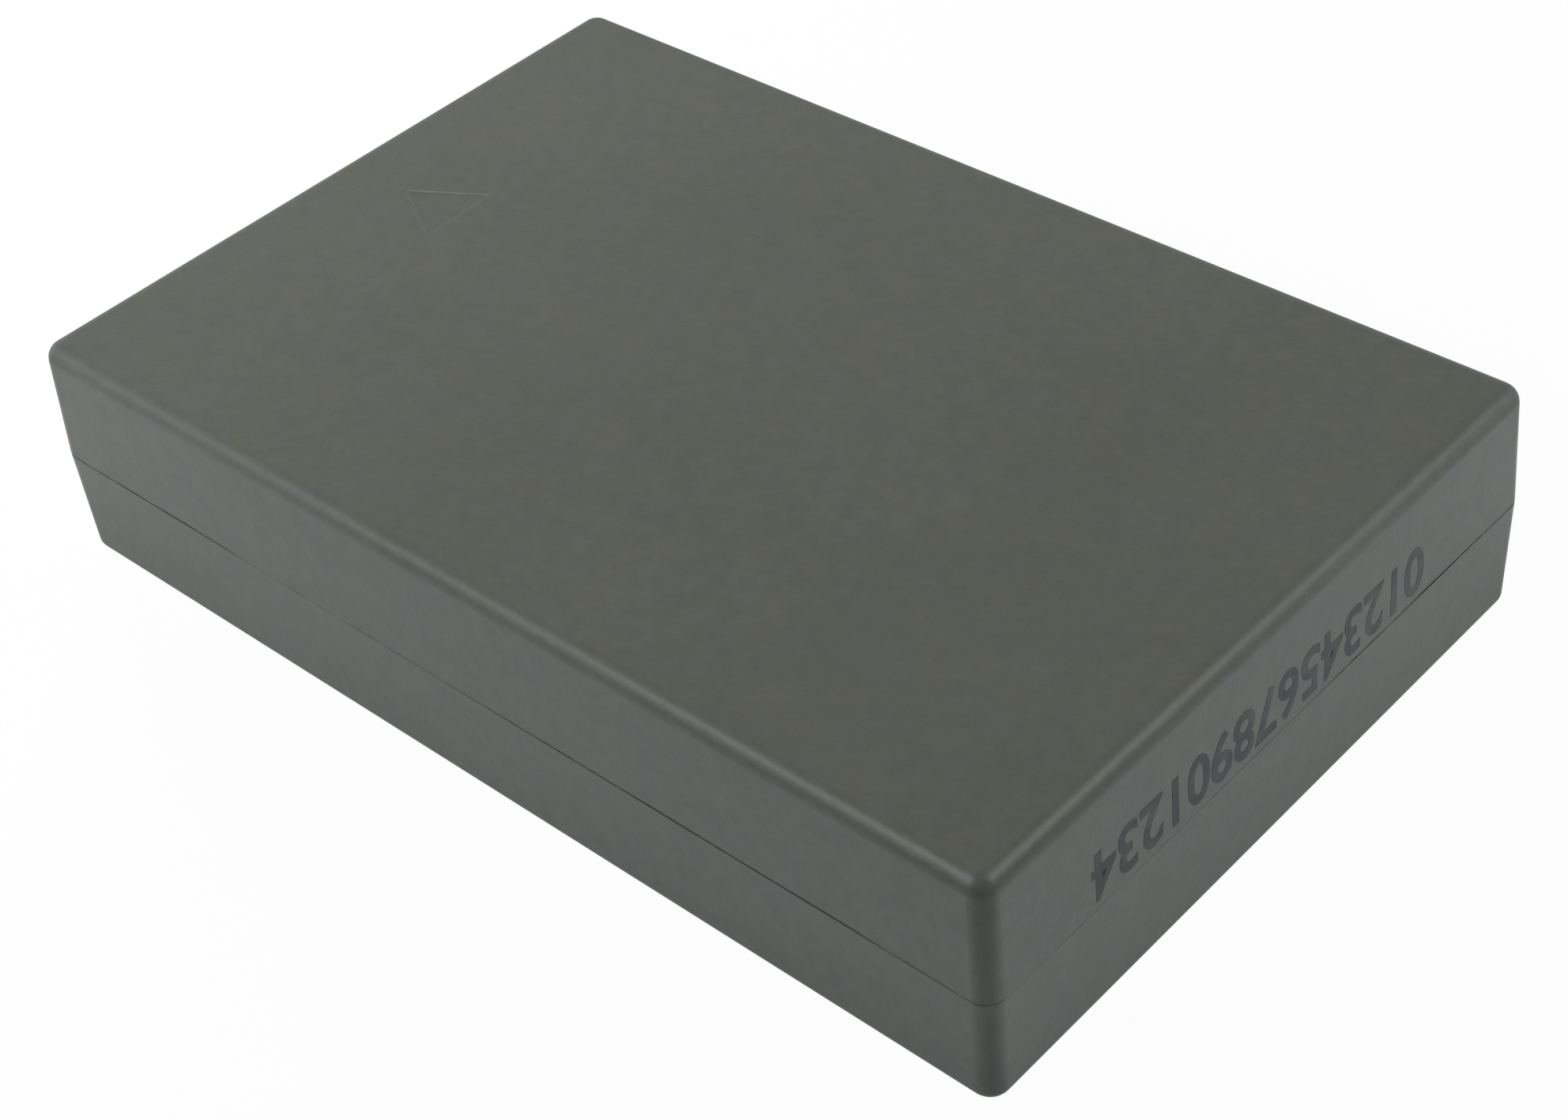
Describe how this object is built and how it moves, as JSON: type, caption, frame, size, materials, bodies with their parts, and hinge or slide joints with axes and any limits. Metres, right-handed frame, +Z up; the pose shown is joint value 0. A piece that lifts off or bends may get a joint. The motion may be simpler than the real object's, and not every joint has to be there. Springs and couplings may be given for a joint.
{
  "type": "camera battery",
  "caption": "Flat camera battery: drafted plastic shells joined at a fine parting line, contact windows at the insertion end, sealed cell and protection board inside.",
  "frame": {"origin": "centre of the bottom face", "axes": "+X from the contact end to the plain end, +Y across the width, +Z up through the thickness to the face with the arrow"},
  "size_m": [0.053, 0.035, 0.0113],
  "materials": {
    "case_plastic": "fine spark-eroded matt olive grey",
    "cell_aluminium": "drawn, satin",
    "black_plastic": "moulded, matt",
    "nickel": "rolled nickel strip",
    "insulating_paper": "pressed insulating paper",
    "board_laminate": "green solder mask",
    "contact_gold": "gold plated",
    "package_epoxy": "moulded epoxy",
    "chip_ceramic": "fired, plated ends",
    "tape": "double-sided tissue tape",
    "foam": "closed-cell foam"
  },
  "bodies": {
    "root": {"upper_case": "case_plastic", "lower_case": "case_plastic", "cell_can": "cell_aluminium", "terminal_gasket": "black_plastic", "negative_terminal": "nickel", "fill_plug": "cell_aluminium", "clad_plate": "nickel", "insulating_paper": "insulating_paper", "positive_tab": "nickel", "thermal_cutoff": "black_plastic", "cutoff_lead": "nickel", "negative_tab": "nickel", "circuit_board": "board_laminate", "positive_contact": "contact_gold", "sense_contact": "contact_gold", "negative_contact": "contact_gold", "protection_ic": "package_epoxy", "switch_mosfet": "package_epoxy", "thermistor": "chip_ceramic", "resistors": "chip_ceramic", "capacitors": "chip_ceramic", "lower_tape": "tape", "upper_tape": "tape", "end_pad": "foam"}
  },
  "joints": []
}
